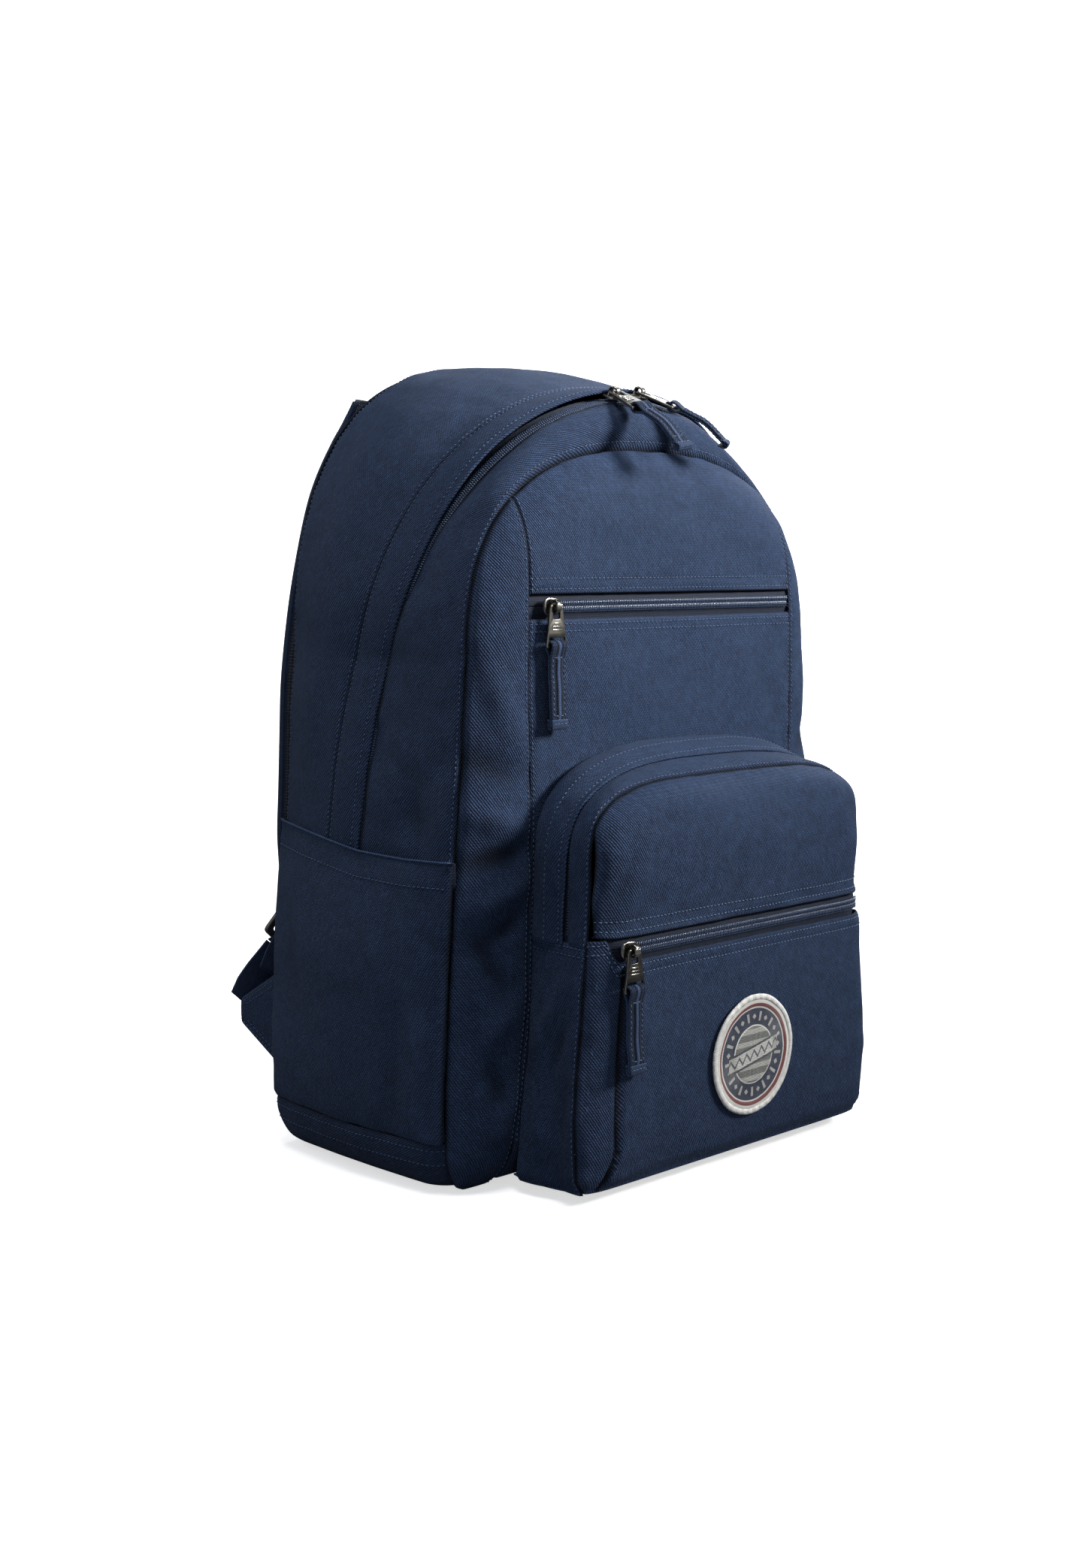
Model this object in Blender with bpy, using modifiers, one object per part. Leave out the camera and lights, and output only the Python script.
"""School backpack, built as its separate panels, zips, pulls, straps and fittings.

Axes: +X right seen from the front, -Y front, +Z up. Origin on the floor under the middle of the
main body. Lengths are centimetres and are turned into metres when a mesh is made.
"""
import math
from typing import NamedTuple

import bmesh
import bpy
from mathutils import Matrix, Vector

CM = 0.01
X, Y, Z = Vector((1, 0, 0)), Vector((0, 1, 0)), Vector((0, 0, 1))
SIDES = (("left", -1), ("right", 1))

# ---------------------------------------------------------------- driving dimensions
BACK_Y = 12.3          # plane of the seam between back panel and gusset
FRONT_Y = -2.2         # plane of the seam between gusset and front panel
BASE_SEAM = 2.8        # height of the seam between base tray and sides
TRAY_TOP = BASE_SEAM - 0.1
GUSSET_BOTTOM = BASE_SEAM + 0.1
ARCH_Z = 28.0          # height where the straight sides turn into the arched top
TOP_Z = 44.6           # top of the back seam
FABRIC = 0.16          # panel thickness
LINING_T = 0.1
TAPE_T = 0.10          # zip tape thickness
SEAM_GAP = 0.14        # space left at a seam for the seam allowance
BODY_MIDDLE = (0, 5, 20)

ZIP_RADIUS = 13.9      # the arched main zip lies on a circle that leans forward
ZIP_TOP = Vector((0, -1.0, 42.1))
ZIP_LEAN = math.atan(0.338)
ZIP_SPAN = math.radians(94)
FLAP_WIDTH = 2.3

UPPER_ZIP_Z = (30.15, 31.45)   # bottom and top of the zip opening in the front panel
LOWER_ZIP_Z = (12.85, 14.05)   # the same in the front pocket's face
ZIP_PANEL_GAP = 0.04           # from a zip opening to the panel beside it

POCKET_BOTTOM = 0.95
POCKET_ARCH_Z = 17.0
POCKET_SEAM_Z = 13.55          # top of the plain sides, where the pocket's zip starts
POCKET_FRONT_Y = -8.5
POCKET_FLAP_Y = -6.55
POCKET_MIDDLE = (0, -6, 10)
SLEEVE_TOP = 27.0


# ---------------------------------------------------------------- surfaces
class Look(NamedTuple):
    colour: tuple
    rough: float
    metal: float = 0.0


CLOTH = Look(colour=(0.022, 0.045, 0.105), rough=0.85)
DARK_CLOTH = Look(colour=(0.012, 0.024, 0.060), rough=0.85)
TRAY_CLOTH = DARK_CLOTH._replace(rough=0.8)
LINING = Look(colour=(0.05, 0.06, 0.08), rough=0.7)
SLEEVE_CLOTH = LINING._replace(rough=0.8)
BOARD = LINING._replace(rough=0.6)
PAD_MESH = Look(colour=(0.02, 0.022, 0.03), rough=0.9)
ZIP_TAPE = Look(colour=(0.010, 0.018, 0.045), rough=0.5)
GUNMETAL = Look(colour=(0.14, 0.135, 0.125), rough=0.3, metal=1.0)
BLACK_PLASTIC = Look(colour=(0.02, 0.02, 0.022), rough=0.4)
PATCH_CLOTH = Look(colour=(0.55, 0.55, 0.5), rough=0.9)
PATCH_THREAD = Look(colour=(0.8, 0.78, 0.72), rough=0.9)


def material(name, look):
    mat = bpy.data.materials.new(name)
    mat.use_nodes = True
    inputs = mat.node_tree.nodes["Principled BSDF"].inputs
    inputs["Base Color"].default_value = (*look.colour, 1)
    inputs["Roughness"].default_value = look.rough
    inputs["Metallic"].default_value = look.metal
    return mat


# ---------------------------------------------------------------- scene and objects
for old in list(bpy.data.objects):
    bpy.data.objects.remove(old, do_unlink=True)

parts = bpy.data.collections.new("school_backpack")
bpy.context.scene.collection.children.link(parts)


def put(name, mesh, look=CLOTH, frame=None):
    """Object of that name, with a material of its own under the same name."""
    obj = bpy.data.objects.new(name, mesh)
    parts.objects.link(obj)
    mesh.materials.clear()
    mesh.materials.append(material(name, look))
    if frame is not None:
        obj.matrix_world = frame
    return obj


def finish_mesh(name, bm):
    mesh = bpy.data.meshes.new(name)
    bm.to_mesh(mesh)
    bm.free()
    return mesh


def frame_at(origin, side, up, out):
    """Matrix that puts local x, y and z along side, up and out, at the origin given in cm."""
    turn = Matrix((side, up, out)).transposed().to_4x4()
    return Matrix.Translation(origin * CM) @ turn


def thicken(obj, thick, offset=-1.0, even=True):
    shell = obj.modifiers.new("thickness", "SOLIDIFY")
    shell.thickness = thick * CM
    shell.offset = offset
    shell.use_even_offset = even


def bevel(obj, width, segments=2):
    edge = obj.modifiers.new("rounded", "BEVEL")
    edge.width = width * CM
    edge.segments = segments
    edge.limit_method = "ANGLE"
    edge.angle_limit = math.radians(35)


def sheet_mesh(name, rows, inside):
    """Open surface through rows of points, with its faces turned away from the point inside."""
    bm = bmesh.new()
    grid = [[bm.verts.new(Vector(p) * CM) for p in row] for row in rows]
    for lower, upper in zip(grid, grid[1:]):
        for k in range(len(lower) - 1):
            bm.faces.new((lower[k], lower[k + 1], upper[k + 1], upper[k]))
    bm.normal_update()
    centre = Vector(inside) * CM
    away = sum(f.calc_area() * f.normal.dot(f.calc_center_median() - centre) for f in bm.faces)
    if away < 0:
        bmesh.ops.reverse_faces(bm, faces=bm.faces)
    mesh = finish_mesh(name, bm)
    mesh.shade_smooth()
    return mesh


def sheet(name, rows, inside, thick=FABRIC, look=CLOTH, offset=-1.0, even=True):
    obj = put(name, sheet_mesh(name, rows, inside), look)
    thicken(obj, thick, offset, even)
    return obj


def slab(name, size, centre, radius, look):
    """Rectangular board with its edges bevelled."""
    bm = bmesh.new()
    bmesh.ops.create_cube(bm, size=1)
    bmesh.ops.scale(bm, vec=Vector(size) * CM, verts=bm.verts)
    obj = put(name, finish_mesh(name, bm), look)
    obj.location = Vector(centre) * CM
    bevel(obj, radius, segments=1)


# ---------------------------------------------------------------- outlines
def lookup(place, pairs):
    """Straight-line reading of (place, value) pairs."""
    if place <= pairs[0][0]:
        return pairs[0][1]
    for (start, first), (end, last) in zip(pairs, pairs[1:]):
        if place <= end:
            return first + (last - first) * (place - start) / (end - start)
    return pairs[-1][1]


def spread(start, end, steps):
    return [start + (end - start) * k / steps for k in range(steps + 1)]


class Outline(NamedTuple):
    """Symmetric outline: measured sides under a superellipse arch.

    climb runs from 0 at the bottom over 0.5 at the foot of the arch to 1 at the top.
    """
    sides: list        # (height, half-width)
    bottom: float
    arch_z: float
    half: float        # half-width, rise and exponent of the arch
    rise: float
    power: float

    def at(self, climb):
        """Half-width and height."""
        if climb < 0.5:
            z = self.bottom + (self.arch_z - self.bottom) * climb / 0.5
            return lookup(z, self.sides), z
        angle = (climb - 0.5) * math.pi
        x = self.half * max(math.cos(angle), 0.0) ** (2 / self.power)
        return x, self.arch_z + self.rise * max(math.sin(angle), 0.0) ** (2 / self.power)

    def width(self, z):
        """Half-width at a height."""
        if z <= self.arch_z:
            return lookup(z, self.sides)
        share = (z - self.arch_z) / self.rise
        return self.half * max(0.0, 1 - share ** self.power) ** (1 / self.power)

    def top(self, x):
        """Height of the arch above x."""
        share = abs(x) / self.half
        return self.arch_z + self.rise * max(0.0, 1 - share ** self.power) ** (1 / self.power)

    def depth(self, x, z):
        """Distance in from the outline, never below nothing."""
        x = abs(x)
        if z <= self.arch_z:
            return max(lookup(z, self.sides) - x, 0.0)
        up = z - self.arch_z
        ratio = ((x / self.half) ** self.power + (up / self.rise) ** self.power) ** (1 / self.power)
        return max(math.hypot(x, up) * (1 / max(ratio, 1e-6) - 1), 0.0)


# (height, half-width) of the seams round the body
BACK_SIDES = [
    (0, 15.0), (2.8, 15.4), (8, 15.4), (14, 15.0), (19, 14.6), (25.5, 14.2), (28, 13.9),
]
FRONT_SIDES = [
    (0, 15.3), (1, 15.4), (5.3, 15.4), (10.6, 15.1), (14.5, 14.8), (17.5, 14.6), (20.3, 14.3),
    (24.2, 14.05), (28, 13.7),
]
FLAP_SIDES = [
    (2.9, 15.9), (6, 15.7), (10, 15.5), (14, 15.4), (18, 15.4), (22, 15.15), (25, 14.8),
    (28, 14.25),
]
ZIP_SIDES = [
    (2.9, 15.85), (6, 15.6), (10, 15.35), (14, 15.2), (18, 15.15), (22, 14.85), (25, 14.45),
    (28, 13.87),
]
# (height, y) of the main zip's line below the arch
ZIP_SIDES_Y = [(2.9, 5.8), (18, 5.0), (22, 4.6), (25, 4.25), (28, 3.77)]

BACK = Outline(BACK_SIDES, GUSSET_BOTTOM, ARCH_Z, half=13.9, rise=TOP_Z - ARCH_Z, power=2.35)
FRONT = Outline(FRONT_SIDES, GUSSET_BOTTOM, ARCH_Z, half=13.7, rise=11.4, power=2.5)
FLAP = Outline(FLAP_SIDES, GUSSET_BOTTOM, ARCH_Z, half=14.25, rise=14.85, power=2.22)

ZIP_UP = Vector((0, -math.sin(ZIP_LEAN), math.cos(ZIP_LEAN)))
ZIP_AXIS = Vector((0, math.cos(ZIP_LEAN), math.sin(ZIP_LEAN)))
ZIP_CENTRE = ZIP_TOP - ZIP_UP * ZIP_RADIUS


def arch_share(climb):
    """0 on the straight sides, growing to 1 at the top of the arch."""
    return max(0.0, climb - 0.5) / 0.5


def back_ring(climb):
    x, z = BACK.at(climb)
    return Vector((x, BACK_Y, z))


def front_ring(climb):
    x, z = FRONT.at(climb)
    return Vector((x, FRONT_Y, z))


def zip_arc(angle):
    """Point of the zip's circle, the angle measured from its top towards +X."""
    return ZIP_CENTRE + ZIP_RADIUS * (math.sin(angle) * X + math.cos(angle) * ZIP_UP)


def zip_ring(climb):
    if climb < 0.5:
        z = GUSSET_BOTTOM + (ARCH_Z - GUSSET_BOTTOM) * climb / 0.5
        return Vector((lookup(z, ZIP_SIDES), lookup(z, ZIP_SIDES_Y), z))
    return zip_arc(ZIP_SPAN * (1 - arch_share(climb)))


def flap_ring(climb):
    """Rear edge of the storm flap, where it is stitched to the gusset."""
    x, z = FLAP.at(climb)
    return Vector((x, zip_ring(climb).y + FLAP_WIDTH, z))


def rear_gusset_ring(climb):
    """Middle of the rear gusset, swollen outwards."""
    middle = (back_ring(climb) + flap_ring(climb)) / 2
    out = Vector((middle.x, 0, max(middle.z - ARCH_Z, 0.0))).normalized()
    swell = 0.45 if climb > 0.5 else 0.1 + 0.35 * max(0.0, climb - 0.35) / 0.15
    return middle + out * swell


def front_gusset_ring(climb):
    """Middle of the front gusset, swollen outwards."""
    middle = (zip_ring(climb) + front_ring(climb)) / 2
    arch = arch_share(climb)
    out = Vector((middle.x * 0.6, -arch, max(middle.z - ARCH_Z, 0.0))).normalized()
    return middle + out * (0.1 + 0.25 * arch)


RINGS = [back_ring, rear_gusset_ring, flap_ring, zip_ring, front_gusset_ring, front_ring]


def body_point(sweep, station):
    """Point of the main body, on a smooth curve through the rings.

    sweep runs -1 (lower left) over 0 (top) to 1 (lower right); station runs from the back seam,
    0, to the front seam, 5, one step for each ring.
    """
    climb = 1 - abs(sweep)
    index = min(int(station), 4)
    share = station - index
    before, start, end, after = (
        RINGS[min(max(k, 0), 5)](climb) for k in range(index - 1, index + 3)
    )
    # the curve stops at both seams and breaks at the zip
    if index in (0, 3):
        before = start * 2 - end
    if index in (2, 4):
        after = end * 2 - start
    point = 0.5 * (
        2 * start
        + (end - before) * share
        + (2 * before - 5 * start + 4 * end - after) * share ** 2
        + (3 * start - before - 3 * end + after) * share ** 3
    )
    if sweep < 0:
        point.x = -point.x
    return point


def both_sides(left):
    """Sweeps of the left side, the top and the mirrored right side."""
    return left + [0.0] + [-sweep for sweep in reversed(left)]


def arch_sweeps(start, side_steps, arch_steps):
    """Sweeps along the whole arch, from the climb start up one side and down the other."""
    climbs = [start + (0.5 - start) * k / side_steps for k in range(side_steps)]
    climbs += [0.5 + 0.5 * k / arch_steps for k in range(arch_steps)]
    return both_sides([climb - 1 for climb in climbs])


# ---------------------------------------------------------------- base
def tray_ring(z):
    """Outline of the base tray at one height: full at the seam and drawn in to the floor."""
    ease = math.sqrt(1 - (1 - z / TRAY_TOP) ** 2.4)
    half = 14.0 + 1.9 * ease
    back = 11.4 + 0.75 * ease
    front = -0.7 - 1.15 * ease
    radius = 1.6 + 0.9 * (1 - ease)
    points = []
    for sign_x, sign_y, start in ((1, 1, 0), (-1, 1, 90), (-1, -1, 180), (1, -1, 270)):
        centre_x = sign_x * (half - radius)
        centre_y = back - radius if sign_y > 0 else front + radius
        for k in range(4):
            angle = math.radians(start + 30 * k)
            x = centre_x + radius * math.cos(angle)
            y = centre_y + radius * math.sin(angle)
            points.append(Vector((x, y, z)))
        if sign_x == sign_y:      # a back or front edge follows this corner
            y = back if sign_y > 0 else front
            points += [Vector((centre_x * (1 - 2 * share), y, z)) for share in (0.25, 0.5, 0.75)]
    return points


def base_panel():
    bm = bmesh.new()
    heights = (0.0, 0.25, 0.8, 1.6, TRAY_TOP)
    loops = [[bm.verts.new(point * CM) for point in tray_ring(z)] for z in heights]
    bm.faces.new(list(reversed(loops[0])))
    count = len(loops[0])
    for lower, upper in zip(loops, loops[1:]):
        for k in range(count):
            after = (k + 1) % count
            bm.faces.new((lower[k], lower[after], upper[after], upper[k]))
    thicken(put("base_panel", finish_mesh("base_panel", bm), TRAY_CLOTH), 0.2)


base_panel()
slab("base_board", size=(26.0, 11.2, 0.3), centre=(0, 5.2, 0.42), radius=0.1, look=BOARD)


# ---------------------------------------------------------------- back panel and pad
def arched_plate(name, inset, bottom, y, thick, look, top=math.inf):
    """Flat panel that follows the back outline, set in by a margin and cut off at the top."""
    climbs = [0.04 + 0.46 * k / 5 for k in range(5)] + [0.5 + 0.46 * k / 8 for k in range(9)]
    rows = []
    for climb in climbs:
        x, z = BACK.at(climb)
        if climb < 0.5:
            x -= inset
        else:
            x *= (BACK.half - inset) / BACK.half
            z = ARCH_Z + (z - ARCH_Z) * (BACK.rise - inset) / BACK.rise
        if not rows:
            z = bottom
        rows.append([(x * share, y, min(z, top)) for share in spread(-1, 1, 6)])
        if z > top:
            break
    return sheet(name, rows, (0, y - 10, 20), thick, look)


arched_plate("back_panel", inset=0.35, bottom=2.95, y=BACK_Y - 0.05, thick=0.2, look=DARK_CLOTH)
back_pad = arched_plate(
    "back_pad", inset=1.7, bottom=4.0, y=BACK_Y + 1.05, thick=0.95, look=PAD_MESH, top=40.0
)
bevel(back_pad, 0.3)

# ---------------------------------------------------------------- gussets, flap and main zip
BODY_SWEEPS = arch_sweeps(0.0, 4, 12)
ZIP_SWEEPS = arch_sweeps(0.285, 2, 12)     # the flap and zip end above the side pockets' foot


def zip_frame(sweep):
    """Point of the zip line, direction to the back across the zip, and outward normal."""
    climb = 1 - abs(sweep)
    sign = 1 if sweep >= 0 else -1
    point = zip_ring(climb)
    point.x *= sign
    if climb >= 0.5:
        return point, ZIP_AXIS, (point - ZIP_CENTRE).normalized()
    flap = flap_ring(climb)
    flap.x *= sign
    rearward = (flap - point).normalized()
    outward = rearward.cross(Z).normalized()
    if outward.x * sign < 0:
        outward = -outward
    return point, rearward, outward


def by_zip(sweep, across, out):
    """Point beside the zip line, moved across it to the back and outwards."""
    point, rearward, outward = zip_frame(sweep)
    return point + rearward * across + outward * out


def main_flap():
    rows = []
    for sweep in ZIP_SWEEPS:
        edge = by_zip(sweep, 0.62, 0.02)
        rear = body_point(sweep, 2.03)
        rows.append([rear, rear.lerp(edge, 0.5) + zip_frame(sweep)[2] * 0.05, edge])
    sheet("main_flap", rows, BODY_MIDDLE)


def main_zip():
    """Two tapes, each with its coil as a raised edge along the closing line."""
    for end, sign, width in (("rear", 1, 1.15), ("front", -1, 0.5)):
        profile = ((0.03, -0.04), (0.24, -0.04), (0.34, -0.2), (width, -0.24))
        rows = [[by_zip(sweep, sign * across, out) for across, out in profile]
                for sweep in ZIP_SWEEPS]
        sheet(f"main_zip_tape_{end}", rows, BODY_MIDDLE, TAPE_T, ZIP_TAPE, even=False)


def front_gusset():
    """Reaches to the flap seam below the zip's ends, and to the front tape along the zip."""
    left = [climb - 1 for climb in (0.0, 0.09, 0.18, 0.262, 0.28)]
    left += [sweep for sweep in ZIP_SWEEPS if sweep < 0]
    rows = []
    for sweep in both_sides(left):
        climb = 1 - abs(sweep)
        if climb < 0.27:
            rows.append([body_point(sweep, station) for station in (2.03, 2.7, 3.4, 4.2, 4.96)])
            continue
        start, end = by_zip(sweep, -0.66, -0.05), body_point(sweep, 4.96)
        arch = arch_share(climb)
        push = (zip_frame(sweep)[2] - Y * 0.6 * arch).normalized() * (0.12 + 0.22 * arch)
        rows.append([start.lerp(end, share) + push * math.sin(math.pi * share)
                     for share in spread(0, 1, 4)])
    sheet("front_gusset", rows, BODY_MIDDLE)


sheet(
    "rear_gusset",
    [[body_point(sweep, station) for station in (0.02, 0.5, 1.0, 1.5, 1.97)]
     for sweep in BODY_SWEEPS],
    BODY_MIDDLE,
)
main_flap()
main_zip()
front_gusset()

# ---------------------------------------------------------------- front panel
# (height, half-width) of the seams between the middle panels and the side strips
STRIP_SEAM = [
    (0, 12.1), (0.9, 12.1), (3, 11.9), (5.3, 11.6), (8.2, 11.2), (10.3, 11.0), (13.6, 10.9),
    (17, 10.7), (21, 10.7), (26, 10.8), (30.8, 10.7), (37, 10.4),
]
STRIP_HEIGHTS = (
    0.18, 0.7, 1.4, 2.6, 5.3, 8.2, 11, 14, 17.5, 21, 24.5, 28, 30.5, 32.5, 34.3, 35.7,
)
PANEL_HEIGHTS = (
    0.9, 1.4, 2.6, 5.3, 8.2, 11, 14, 17.5, 21, 24.5, 27.5, UPPER_ZIP_Z[0] - ZIP_PANEL_GAP,
)
TUCK_Z = 2.6           # below this the front panel draws back to TUCK_Y
TUCK_Y = -2.0


def front_y(x, z):
    """Front panel surface: rounded over at its edge, nearly flat inside it."""
    y = FRONT_Y - 1.75 * (1 - math.exp(-((FRONT.depth(x, z) / 1.4) ** 1.2)))
    if z < TUCK_Z:
        y += (TUCK_Y - y) * ((TUCK_Z - z) / TUCK_Z) ** 2
    return y


def on_front(x, z):
    return x, front_y(x, z), z


def panel_edge(z):
    return lookup(z, STRIP_SEAM) - SEAM_GAP / 2


def front_strips():
    for side, sign in SIDES:
        rows = []
        for z in STRIP_HEIGHTS:
            outer = FRONT.width(z) - SEAM_GAP * (1.0 if z < ARCH_Z else 1.3)
            inner = lookup(z, STRIP_SEAM) + SEAM_GAP / 2
            widths = [inner + (outer - inner) * share for share in (0, 0.35, 0.65, 0.85, 1)]
            rows.append([(sign * x, front_y(x, z), z) for x in widths])
        sheet(f"front_strip_{side}", rows, BODY_MIDDLE)


def front_panel_upper():
    bottom = UPPER_ZIP_Z[1] + ZIP_PANEL_GAP
    rows = []
    for across in spread(-1, 1, 12):
        top = FRONT.top(across * 10.35) - SEAM_GAP * 1.4
        heights = [bottom + (top - bottom) * share for share in (0, 0.25, 0.5, 0.7, 0.85, 1)]
        rows.append([on_front(across * panel_edge(z), z) for z in heights])
    sheet("front_panel_upper", rows, BODY_MIDDLE)


def front_panel_lower():
    rows = [[on_front(across * panel_edge(z), z) for across in spread(-1, 1, 8)]
            for z in PANEL_HEIGHTS]
    sheet("front_panel_lower", rows, BODY_MIDDLE)


def straight_zip(name, tape_edge, place, stations, inside):
    """Two tapes of a level zip; place turns x, the way up across the zip and out to a point."""
    profile = ((0.03, -0.04), (0.26, -0.04), (0.30, -0.12), (tape_edge, -0.12))
    for end, sign in (("top", 1), ("bottom", -1)):
        rows = [[place(x, sign * across, out) for across, out in profile] for x in stations]
        sheet(f"{name}_zip_tape_{end}", rows, inside, TAPE_T, ZIP_TAPE, even=False)


CHAIN_SINK = 0.06      # how far a level zip's line lies behind the panel
UPPER_MID = sum(UPPER_ZIP_Z) / 2
UPPER_HALF = (UPPER_ZIP_Z[1] - UPPER_ZIP_Z[0]) / 2
UPPER_CHAIN_Y = front_y(0, UPPER_MID) + CHAIN_SINK
UPPER_ZIP_XS = (-10.45, -9.6, -8.0, -4.0, 0.0, 4.0, 8.0, 9.6, 10.45)


def on_upper_zip(x, across, out):
    y = max(front_y(x, UPPER_MID) + CHAIN_SINK, UPPER_CHAIN_Y)
    return x, y - out, UPPER_MID + across


front_strips()
front_panel_upper()
front_panel_lower()
straight_zip("upper", UPPER_HALF - 0.04, on_upper_zip, UPPER_ZIP_XS, BODY_MIDDLE)
sheet(
    "upper_pocket_lining",
    [[(x, front_y(x * 0.95, z) + 0.75, z) for x in spread(-10.0, 10.0, 6)]
     for z in (17.0, 22.0, 27.0, 31.0, 32.5)],
    BODY_MIDDLE, LINING_T, LINING,
)

# ---------------------------------------------------------------- side pockets
# (height, how far the slip pocket stands out)
SIDE_POCKET_FILL = [(2.8, 0.8), (5, 1.1), (8, 1.3), (12, 1.35), (15, 1.05), (18.6, 0.7)]
# (y, height) of the pocket's top hem
SIDE_POCKET_HEM = [(-2.2, 17.6), (0.7, 17.55), (4.3, 17.65), (8, 18.1), (12.3, 18.6)]
SIDE_POCKET_YS = (-1.95, -1.2, 0.6, 3.0, 5.5, 8.0, 10.2, 11.6, 12.1)


def side_pocket_x(y, z):
    """Half-width of the slip pocket's outer face."""
    forward = (BACK_Y - y) / (BACK_Y - FRONT_Y)
    edge = lookup(z, BACK_SIDES) * (1 - forward) + lookup(z, FRONT_SIDES) * forward
    bulge = math.sin(math.pi * min(max(forward, 0.0), 1.0)) ** 0.7
    return edge + 0.30 + lookup(z, SIDE_POCKET_FILL) * bulge


def side_pockets():
    bottom = BASE_SEAM + 0.05
    for side, sign in SIDES:
        rows = []
        for share in (0, 0.18, 0.4, 0.6, 0.8, 1):
            row = []
            for y in SIDE_POCKET_YS:
                z = bottom + (lookup(y, SIDE_POCKET_HEM) - bottom) * share
                row.append((sign * side_pocket_x(y, z), y, z))
            rows.append(row)
        sheet(f"side_pocket_{side}", rows, BODY_MIDDLE)


side_pockets()

# ---------------------------------------------------------------- front pocket
# (height, half-width) at the front panel, at the flap's edge and at the pocket's face
ROOT_SIDES = [
    (0, 12.1), (1, 12.1), (3, 11.9), (5.3, 11.6), (8.2, 11.2), (10.3, 11.0), (13.6, 10.9),
    (17, 10.75),
]
EDGE_SIDES = [(0.9, 11.7), (3, 11.95), (8, 11.6), (13.5, 11.15), (17, 11.0)]
FACE_SIDES = [
    (0.9, 11.6), (1.4, 12.0), (4.7, 12.15), (6.9, 12.0), (9.1, 11.7), (11.1, 11.5),
    (13.6, 11.2), (15.2, 11.05), (17, 10.95),
]
ROOT = Outline(ROOT_SIDES, POCKET_BOTTOM, POCKET_ARCH_Z, half=10.75, rise=6.4, power=2.8)
EDGE = Outline(EDGE_SIDES, POCKET_BOTTOM, POCKET_ARCH_Z, half=11.0, rise=5.9, power=2.9)
FACE = Outline(FACE_SIDES, POCKET_BOTTOM, POCKET_ARCH_Z, half=10.95, rise=4.95, power=3.8)


def pocket_climb(z):
    return 0.5 * (z - POCKET_BOTTOM) / (POCKET_ARCH_Z - POCKET_BOTTOM)


SEAM_CLIMB = pocket_climb(POCKET_SEAM_Z)
POCKET_SWEEPS = arch_sweeps(SEAM_CLIMB + 0.006, 1, 9)


def pocket_rings(climb):
    """Points at the pocket's root, at the flap's edge and at the face seam."""
    root_x, root_z = ROOT.at(climb)
    edge_x, edge_z = EDGE.at(climb)
    face_x, face_z = FACE.at(climb)
    return (
        Vector((root_x, front_y(root_x, max(root_z, TUCK_Z)) - 0.1, root_z)),
        Vector((edge_x, POCKET_FLAP_Y, edge_z)),
        Vector((face_x, POCKET_FRONT_Y, face_z)),
    )


def pocket_point(sweep, station):
    """station 0 is the pocket's root on the front panel, 1 the flap edge, 2 the face seam."""
    root, edge, face = pocket_rings(1 - abs(sweep))
    point = root.lerp(edge, station) if station <= 1 else edge.lerp(face, station - 1)
    out = Vector((point.x, 0, max(point.z - POCKET_ARCH_Z, 0.0) * 1.6)).normalized()
    point += out * 0.2 * math.sin(math.pi * min(station, 1.0))
    if sweep < 0:
        point.x = -point.x
    return point


def out_from_pocket(sweep, station, out):
    """Point of the pocket's gusset moved outwards."""
    point = pocket_point(sweep, station)
    beside = pocket_point(sweep, station + (0.04 if station < 1.5 else -0.04))
    onward = pocket_point(sweep + 0.01, station)
    normal = (beside - point).cross(onward - point).normalized()
    if normal.dot(point - Vector((0, point.y, 8))) < 0:
        normal = -normal
    return point + normal * out


def pocket_band(name, spots, thick=FABRIC, look=CLOTH, even=True):
    """Strip along the pocket's arch, its cross-section given as (station, out) spots."""
    rows = [[out_from_pocket(sweep, station, out) for station, out in spots]
            for sweep in POCKET_SWEEPS]
    sheet(name, rows, POCKET_MIDDLE, thick, look, even=even)


def pocket_sides():
    """Plain sides below the ends of the pocket's zip."""
    for side, sign in SIDES:
        rows = []
        for climb in spread(0.0, SEAM_CLIMB - 0.004, 5):
            root, edge, face = pocket_rings(climb)
            points = (root, root.lerp(edge, 0.5) + X * 0.12, edge, face + Y * 0.14)
            rows.append([(sign * point.x, point.y, point.z) for point in points])
        sheet(f"pocket_side_{side}", rows, POCKET_MIDDLE)


# (height, how far the pocket's face stands out from the plane of its seam)
FACE_SWELL = [
    (0.9, 0.35), (1.6, 0.8), (2.6, 0.95), (5, 1.05), (9, 1.15), (12.85, 1.2), (14.05, 1.2),
    (18, 1.38), (22, 1.4),
]
FACE_COLUMNS = (-1, -0.94, -0.86, -0.7, -0.4, 0, 0.4, 0.7, 0.86, 0.94, 1)


def pocket_y(x, z):
    """Front face of the pocket, rounded over at its edge."""
    return POCKET_FRONT_Y - lookup(z, FACE_SWELL) * (
        1 - math.exp(-((FACE.depth(x, z) / 0.8) ** 1.2))
    )


def pocket_face(name, heights):
    rows = []
    for z in heights:
        width = FACE.width(z) - SEAM_GAP * (1.0 if z < 19 else 1.6)
        rows.append([(width * share, pocket_y(width * share, z) - 0.02, z)
                     for share in FACE_COLUMNS])
    sheet(name, rows, POCKET_MIDDLE)


sheet(
    "pocket_rear_gusset",
    [[pocket_point(sweep, station) for station in (0.0, 0.28, 0.5)] for sweep in POCKET_SWEEPS],
    POCKET_MIDDLE,
)
pocket_band("pocket_flap", ((0.56, 0.0), (0.78, 0.04), (0.96, 0.04)))
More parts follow.
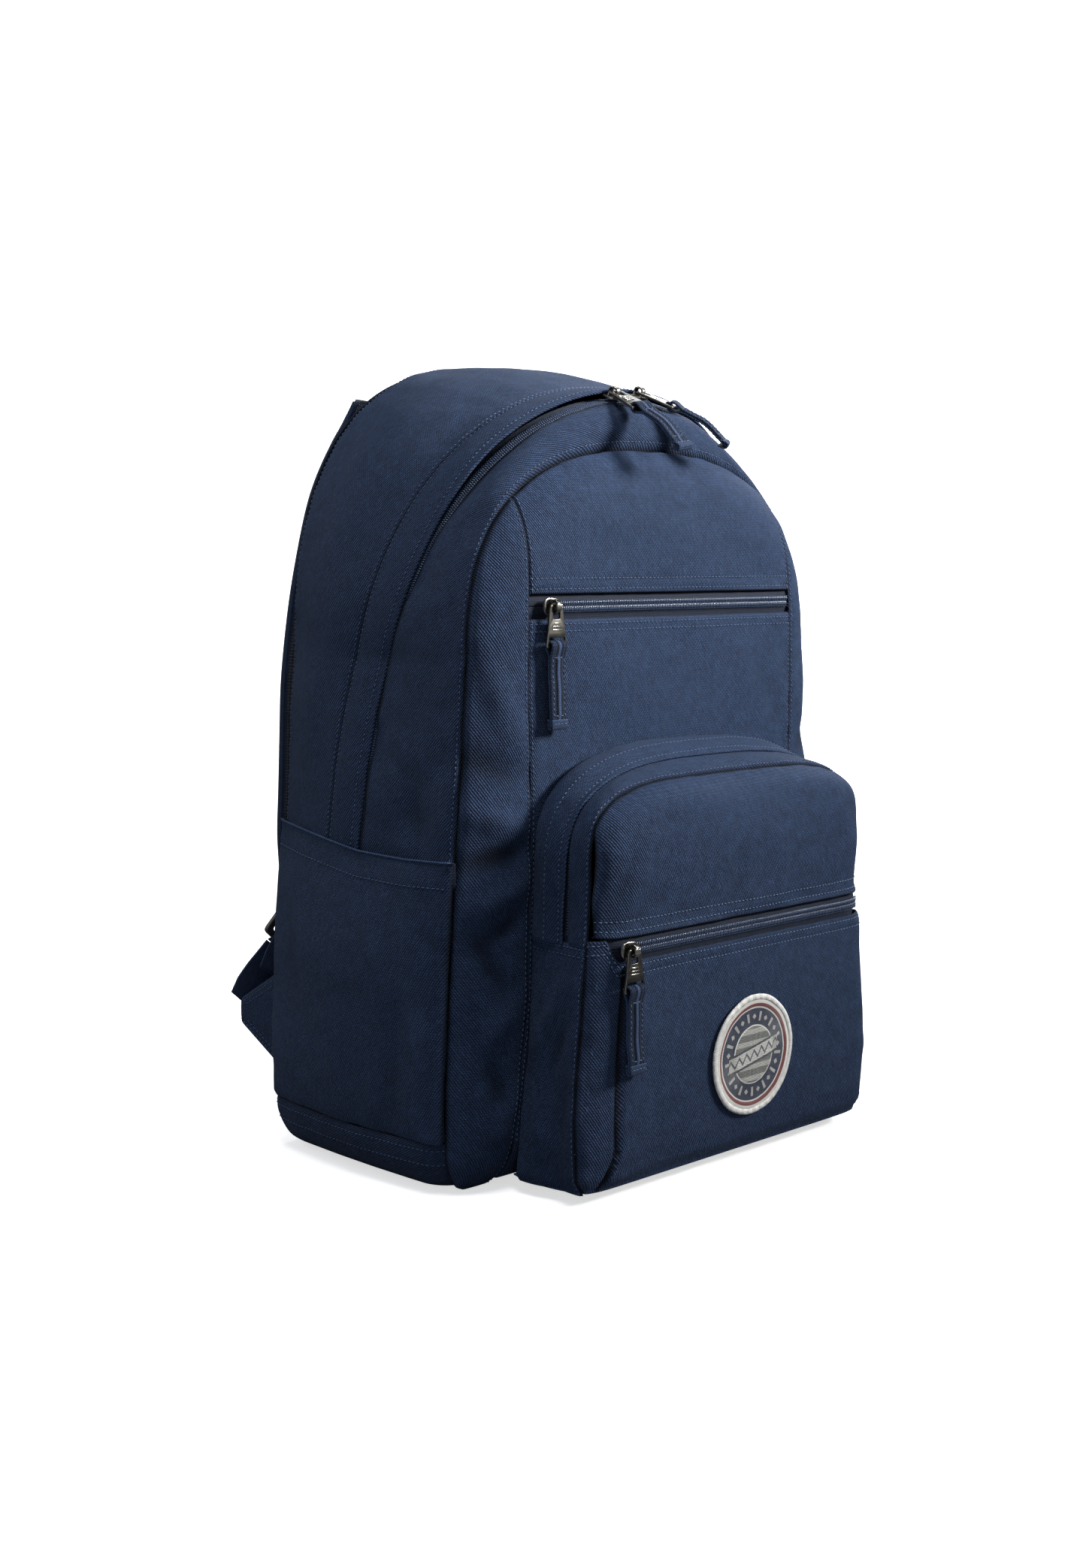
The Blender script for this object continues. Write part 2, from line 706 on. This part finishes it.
# the pocket zip lies between the flap's edge and the front gusset
for end, spots in (
    ("rear", ((0.80, -0.26), (1.0, -0.26), (1.05, -0.14), (1.17, -0.14))),
    ("front", ((1.22, -0.14), (1.34, -0.14), (1.39, -0.26), (1.52, -0.26))),
):
    pocket_band(f"pocket_zip_tape_{end}", spots, thick=0.08, look=ZIP_TAPE, even=False)
pocket_band("pocket_front_gusset", ((1.56, 0.0), (1.75, 0.0), (1.93, 0.0)))
pocket_sides()
pocket_face(
    "pocket_front_upper",
    (LOWER_ZIP_Z[1] + ZIP_PANEL_GAP, 15.5, 17.0, 18.6, 19.8, 20.7, 21.3, 21.75),
)
pocket_face(
    "pocket_front_lower", (1.1, 1.6, 2.6, 5.0, 7.5, 10.0, LOWER_ZIP_Z[0] - ZIP_PANEL_GAP)
)
sheet(
    "lower_pocket_lining",
    [[(x, POCKET_FRONT_Y - 0.05, z) for x in spread(-10.2, 10.2, 4)]
     for z in (1.9, 6.0, 10.0, 14.6)],
    POCKET_MIDDLE, LINING_T, LINING,
)
sheet(
    "pocket_bottom",
    [[(x, y, POCKET_BOTTOM - 0.05) for x in spread(-11.3, 11.3, 6)] for y in (-4.25, -6.4, -8.2)],
    POCKET_MIDDLE,
)

# zip in the pocket's face, in the slanting plane of its opening
LOWER_MID = sum(LOWER_ZIP_Z) / 2
LOWER_YS = [pocket_y(0, z) for z in LOWER_ZIP_Z]
LOWER_CHAIN_Y = sum(LOWER_YS) / 2
LOWER_UP = Vector((0, LOWER_YS[1] - LOWER_YS[0], LOWER_ZIP_Z[1] - LOWER_ZIP_Z[0])).normalized()
LOWER_OUT = X.cross(LOWER_UP)
LOWER_HALF = (LOWER_ZIP_Z[1] - LOWER_ZIP_Z[0]) / 2 / LOWER_UP.z
LOWER_ZIP_XS = (-10.9, -10.5, -9.9, -8.0, -4.0, 0.0, 4.0, 8.0, 9.9, 10.5, 10.9)


def on_lower_zip(x, across, out):
    curve = pocket_y(x, LOWER_MID) - pocket_y(0, LOWER_MID)
    line = Vector((x, LOWER_CHAIN_Y + curve + CHAIN_SINK, LOWER_MID))
    return line + LOWER_UP * across + LOWER_OUT * out


straight_zip("lower", LOWER_HALF - 0.05, on_lower_zip, LOWER_ZIP_XS, POCKET_MIDDLE)

# ---------------------------------------------------------------- round patch
PATCH_X, PATCH_Z = 0.5, 6.25
PATCH_RADIUS = 3.36
PATCH_BORDER = 0.14    # radius of the border's round section
PATCH_LIFT = 0.22      # height of the patch's middle above the pocket's face


def patch_frame():
    """Frame lying on the slope of the lower pocket's face."""
    slope_x = (pocket_y(PATCH_X + 1, PATCH_Z) - pocket_y(PATCH_X - 1, PATCH_Z)) / 2
    slope_z = (pocket_y(PATCH_X, PATCH_Z + 1) - pocket_y(PATCH_X, PATCH_Z - 1)) / 2
    side = Vector((1, slope_x, 0)).normalized()
    out = side.cross(Vector((0, slope_z, 1))).normalized()
    seat = Vector((PATCH_X, pocket_y(PATCH_X, PATCH_Z) - 0.02, PATCH_Z))
    return frame_at(seat + out * PATCH_LIFT, side, out.cross(side), out)


def round_patch():
    radius = (PATCH_RADIUS - 0.34) * CM
    bm = bmesh.new()
    bmesh.ops.create_cone(
        bm, cap_ends=True, segments=32, radius1=radius, radius2=radius, depth=0.14 * CM
    )
    put("round_patch", finish_mesh("round_patch", bm), PATCH_CLOTH, patch_frame())


def patch_border():
    """Over-locked border round the patch."""
    bpy.ops.mesh.primitive_torus_add(
        major_radius=(PATCH_RADIUS - PATCH_BORDER) * CM,
        minor_radius=PATCH_BORDER * CM,
        major_segments=32,
        minor_segments=8,
    )
    ring = bpy.context.active_object
    mesh = ring.data
    mesh.name = "patch_border"
    bpy.data.objects.remove(ring)
    put("patch_border", mesh, PATCH_THREAD, patch_frame())


round_patch()
patch_border()

# ---------------------------------------------------------------- laptop sleeve
sheet(
    "laptop_sleeve",
    [[(share * (lookup(z, BACK_SIDES) - 0.75), 10.0, z) for share in spread(-1, 1, 3)]
     for z in (GUSSET_BOTTOM, 14.0, SLEEVE_TOP)],
    (0, 20, 15), 0.3, SLEEVE_CLOTH,
)

# ---------------------------------------------------------------- sliders, pullers, tabs
BAR = 0.11             # half height of the puller's top bar
BAR_LIFT = 0.44        # height of the puller's hinge above the closed coil
PULL_LENGTH = 2.05     # hinge bar to the puller's bottom bar
PULLER_T = 0.14
TAB_T = 0.24
TAB_WIDTH = 1.1
LONG_TAB, SHORT_TAB = 4.25, 3.6
PLATE_LENGTH, PLATE_WIDTH, PLATE_T = 1.25, 0.92, 0.15
PLATE_LIFT = 0.09
BRIDGE_WIDTH = 0.26
BRIDGE_TOP = BAR_LIFT + 0.33


def closed_solid(name, first, second):
    """Solid between two matching closed loops of points."""
    bm = bmesh.new()
    first = [bm.verts.new(Vector(point) * CM) for point in first]
    second = [bm.verts.new(Vector(point) * CM) for point in second]
    bm.faces.new(first)
    bm.faces.new(list(reversed(second)))
    count = len(first)
    for k in range(count):
        after = (k + 1) % count
        bm.faces.new((first[k], second[k], second[after], first[after]))
    bmesh.ops.recalc_face_normals(bm, faces=bm.faces)
    return finish_mesh(name, bm)


def evaluated_mesh(name, obj):
    bpy.context.view_layer.update()
    graph = bpy.context.evaluated_depsgraph_get()
    mesh = bpy.data.meshes.new_from_object(obj.evaluated_get(graph))
    mesh.name = name
    return mesh


def joined(name, first, second):
    """One solid from two overlapping ones."""
    objs = []
    for k, mesh in enumerate((first, second)):
        obj = bpy.data.objects.new(f"{name}_piece{k}", mesh)
        parts.objects.link(obj)
        objs.append(obj)
    union = objs[0].modifiers.new("join", "BOOLEAN")
    union.operation = "UNION"
    union.solver = "EXACT"
    union.object = objs[1]
    mesh = evaluated_mesh(name, objs[0])
    for obj in objs:
        bpy.data.objects.remove(obj)
    return mesh


def slider_plate(name, turn_deg):
    """Outline rounded at both ends, its longer side along the zip, drawn in towards the top."""
    turn = math.radians(turn_deg)
    outline = []
    for k in range(16):
        angle = 2 * math.pi * k / 16
        cos, sin = math.cos(angle), math.sin(angle)
        x = PLATE_LENGTH / 2 * math.copysign(abs(cos) ** 0.75, cos)
        y = PLATE_WIDTH / 2 * math.copysign(abs(sin) ** 0.75, sin) * (1 - 0.12 * cos)
        outline.append((
            x * math.cos(turn) - y * math.sin(turn),
            x * math.sin(turn) + y * math.cos(turn),
        ))
    return closed_solid(
        name,
        [(x, y, PLATE_LIFT) for x, y in outline],
        [(x * 0.93, y * 0.93, PLATE_LIFT + PLATE_T) for x, y in outline],
    )


def slider_bridge(name):
    """Arch over the puller's bar."""
    outer, inner, foot = 0.36, 0.21, 0.12
    outline = [     # (y, z)
        (-outer, foot), (-inner, foot), (-inner, BAR_LIFT + 0.13), (-0.12, BAR_LIFT + 0.20),
        (0.12, BAR_LIFT + 0.20), (inner, BAR_LIFT + 0.13), (inner, foot), (outer, foot),
        (outer, BRIDGE_TOP - 0.14), (0.2, BRIDGE_TOP), (-0.2, BRIDGE_TOP),
        (-outer, BRIDGE_TOP - 0.14),
    ]
    return closed_solid(
        name,
        [(-BRIDGE_WIDTH / 2, y, z) for y, z in outline],
        [(BRIDGE_WIDTH / 2, y, z) for y, z in outline],
    )


def slider_mesh(name, turn_deg):
    """Plate and bridge. The puller's bar lies along x under the bridge."""
    return joined(
        name, slider_plate(name + "_plate", turn_deg), slider_bridge(name + "_bridge")
    )


def flat_plate(name, outlines, thick):
    """Flat plate from closed outlines in the xy plane, the outer one first, then its holes."""
    data = bpy.data.curves.new(name, "CURVE")
    data.dimensions = "2D"
    data.fill_mode = "BOTH"
    data.extrude = thick / 2 * CM
    for outline in outlines:
        line = data.splines.new("POLY")
        line.points.add(len(outline) - 1)
        for point, (x, y) in zip(line.points, outline):
            point.co = (x * CM, y * CM, 0, 1)
        line.use_cyclic_u = True
    obj = bpy.data.objects.new(name + "_outline", data)
    parts.objects.link(obj)
    mesh = evaluated_mesh(name, obj)
    bpy.data.objects.remove(obj)
    # weld the faces to the rim
    bm = bmesh.new()
    bm.from_mesh(mesh)
    bmesh.ops.remove_doubles(bm, verts=bm.verts, dist=0.00001)
    bm.to_mesh(mesh)
    bm.free()
    return mesh


def puller_mesh(name):
    """Hinge bar at the origin, hanging towards -y: window above, slot for the tab below."""
    foot = -PULL_LENGTH
    outer = [
        (-0.36, BAR), (0.36, BAR), (0.47, -0.1), (0.78, foot - 0.02), (0.70, foot - 0.10),
        (-0.70, foot - 0.10), (-0.78, foot - 0.02), (-0.47, -0.1),
    ]
    window = [(-0.25, -BAR), (-0.25, -0.64), (0.25, -0.64), (0.25, -BAR)]
    slot = [(-0.58, foot + 0.47), (-0.60, foot + 0.10), (0.60, foot + 0.10), (0.58, foot + 0.47)]
    return flat_plate(name, [outer, window, slot], PULLER_T)


def tab_mesh(name, length):
    """Folded fabric tab round the puller's bottom bar, which is at the origin."""
    half = TAB_T / 2
    outer = [
        (-length, -half), (-0.50, -half), (-0.24, -0.24), (0, -0.31), (0.22, -0.22), (0.31, 0),
        (0.22, 0.22), (0, 0.31), (-0.24, 0.24), (-0.50, half), (-length, half),
    ]
    angles = [math.radians(45 * k) for k in range(8)]
    inner = [(0.19 * math.cos(angle), 0.19 * math.sin(angle)) for angle in angles]
    mesh = flat_plate(name, [outer, inner], TAB_WIDTH)
    # drawn in xy: turn it so that x becomes y, y becomes z, and the width runs along x
    mesh.transform(Matrix(((0, 0, 1, 0), (1, 0, 0, 0), (0, 1, 0, 0), (0, 0, 0, 1))))
    return mesh


def zip_pull(pattern, seat, side, up, tilt, tab, plate_turn=0, swing=0):
    """Slider, puller and tab, seated on the closed coil.

    side and up lie in the zip's plane. The pull points to -up, turned by swing towards side, and
    is lifted off the zip by tilt. Angles are in degrees; pattern gives the objects' names.
    """
    out = side.cross(up)
    angle = math.radians(swing)
    pull_side = side * math.cos(angle) + up * math.sin(angle)
    pull_up = out.cross(pull_side)
    slider, puller, pull_tab = (pattern.format(x) for x in ("slider", "puller", "pull_tab"))
    frame = frame_at(seat, pull_side, pull_up, out)
    put(slider, slider_mesh(slider, plate_turn - swing), GUNMETAL, frame)
    hinge = frame_at(seat + out * BAR_LIFT, pull_side, pull_up, out)
    hinge = hinge @ Matrix.Rotation(math.radians(-tilt), 4, "X")
    put(puller, puller_mesh(puller), GUNMETAL, hinge)
    bottom_bar = Matrix.Translation(-Y * PULL_LENGTH * CM)
    put(pull_tab, tab_mesh(pull_tab, tab), CLOTH, hinge @ bottom_bar)


zip_pull("upper_{}", Vector((-9.35, UPPER_CHAIN_Y, UPPER_MID)), X, Z, tilt=1.5, tab=LONG_TAB)
zip_pull(
    "lower_{}", on_lower_zip(-9.4, 0, 0) - Y * CHAIN_SINK, X, LOWER_UP, tilt=1.5, tab=LONG_TAB
)
# the main zip's two sliders: degrees from the top of the arch, swing and tilt
for side, degrees, swing, tilt in (("left", -6.5, 4, -8.0), ("right", 1.5, 36, -7.0)):
    angle = math.radians(degrees)
    along = math.cos(angle) * X - math.sin(angle) * ZIP_UP
    zip_pull(
        "main_{}_" + side, zip_arc(angle), along, ZIP_AXIS, tilt=tilt, tab=SHORT_TAB, swing=swing
    )
zip_pull(
    "pocket_{}", out_from_pocket(1 - pocket_climb(14.6), 1.195, -0.12), Y, Z,
    tilt=9.0, tab=LONG_TAB, plate_turn=90,
)

# ---------------------------------------------------------------- shoulder straps
# right strap, from the top down: (x, y, z) of its middle, and its width there
STRAP_PATH = [
    (5.8, 13.36, 42.3), (5.9, 13.75, 41.0), (6.1, 14.6, 39.2), (6.6, 15.7, 36), (7.2, 16.5, 31),
    (7.8, 16.8, 26), (8.4, 16.7, 21), (9.3, 16.5, 16.5), (10.2, 16.3, 13.2),
]
STRAP_WIDTHS = [5.0, 5.6, 6.2, 6.8, 7.0, 6.9, 6.4, 5.4, 3.6]
LOCK_AT = Vector((11.05, 16.2, 11.2))
WING_TIP = Vector((15.1, 16.4, 6.9))
LOCK_RUN = (WING_TIP - LOCK_AT).normalized()
# ladder-lock frame with its upper and lower slots
LOCK_OUTLINES = [
    [(-1.75, -1.35), (1.75, -1.35), (1.75, 1.35), (-1.75, 1.35)],
    [(-1.35, 0.35), (-1.35, 0.95), (1.35, 0.95), (1.35, 0.35)],
    [(-1.35, -0.95), (-1.35, -0.30), (1.35, -0.30), (1.35, -0.95)],
]
# wing: low and high corner at the back seam and at the tip
WING_ROOT = Vector((14.75, 12.75, 4.1)), Vector((14.75, 12.75, 9.7))
WING_END = Vector((15.0, 16.2, 6.2)), Vector((15.0, 16.2, 7.6))


def direction(path, k):
    """Direction of a path at its point k, taken between the neighbours."""
    return (path[min(k + 1, len(path) - 1)] - path[max(k - 1, 0)]).normalized()


def band(name, sign, path, widths, thick, columns):
    """Flat band of varying width along a path, its width across the path and level in y."""
    path = [Vector(point) for point in path]
    rows = []
    for k, point in enumerate(path):
        wide = direction(path, k).cross(Y).normalized()
        row = [point + wide * widths[k] * share for share in spread(-0.5, 0.5, columns)]
        rows.append([(sign * spot.x, spot.y, spot.z) for spot in row])
    return sheet(name, rows, (sign * 8, 0, 25), thick, offset=0.0)


def ladder_lock(side, sign):
    name = f"ladder_lock_{side}"
    run = Vector((sign * LOCK_RUN.x, LOCK_RUN.y, LOCK_RUN.z))
    wide = run.cross(Y).normalized()
    if wide.x <= 0:
        wide = -wide
    seat = Vector((sign * LOCK_AT.x, LOCK_AT.y, LOCK_AT.z))
    frame = frame_at(seat, wide, -run, wide.cross(-run).normalized())
    put(name, flat_plate(name, LOCK_OUTLINES, 0.32), BLACK_PLASTIC, frame)


def strap_wing(side, sign):
    """Four-cornered piece of doubled fabric, narrowing from the back seam to its tip."""
    rows = []
    for share in (0, 0.33, 0.66, 1):
        low, high = (root.lerp(tip, share) for root, tip in zip(WING_ROOT, WING_END))
        points = (low, low.lerp(high, 0.5), high)
        rows.append([(sign * point.x, point.y, point.z) for point in points])
    sheet(f"strap_wing_{side}", rows, (0, 14, 7), 0.26)


def strap_webbing(side, sign):
    """Webbing from the wing up to the buckle."""
    start = Vector((14.6, 16.75, 7.3))
    end = LOCK_AT + LOCK_RUN * 1.55
    path = [start, start.lerp(end, 0.5) + Y * 0.12, end]
    band(f"strap_webbing_{side}", sign, path, [2.0, 2.4, 2.4], thick=0.16, columns=1)


for side, sign in SIDES:
    strap = band(f"strap_pad_{side}", sign, STRAP_PATH, STRAP_WIDTHS, thick=1.0, columns=3)
    bevel(strap, 0.22)
    ladder_lock(side, sign)
    strap_wing(side, sign)
    strap_webbing(side, sign)


# ---------------------------------------------------------------- haul loop and yoke
def haul_loop():
    """Loop of webbing hanging from the top of the back."""
    path = []
    for k in range(9):
        cos, sin = math.cos(math.pi * k / 8), math.sin(math.pi * k / 8)
        path.append(Vector((2.5 * cos, 13.15 + 1.15 * sin, 43.0 - 2.6 * sin)))
    rows = []
    for k, point in enumerate(path):
        run = direction(path, k)
        wide = Vector((0, 0.92, 0.39))
        wide = (wide - run * wide.dot(run)).normalized()
        rows.append([point - wide * 0.55, point + wide * 0.55])
    sheet("haul_loop", rows, (0, 13.2, 43.4), 0.22, offset=0.0)


haul_loop()
slab("strap_yoke", size=(16.4, 0.16, 1.2), centre=(0, 12.42, 41.3), radius=0.05, look=DARK_CLOTH)
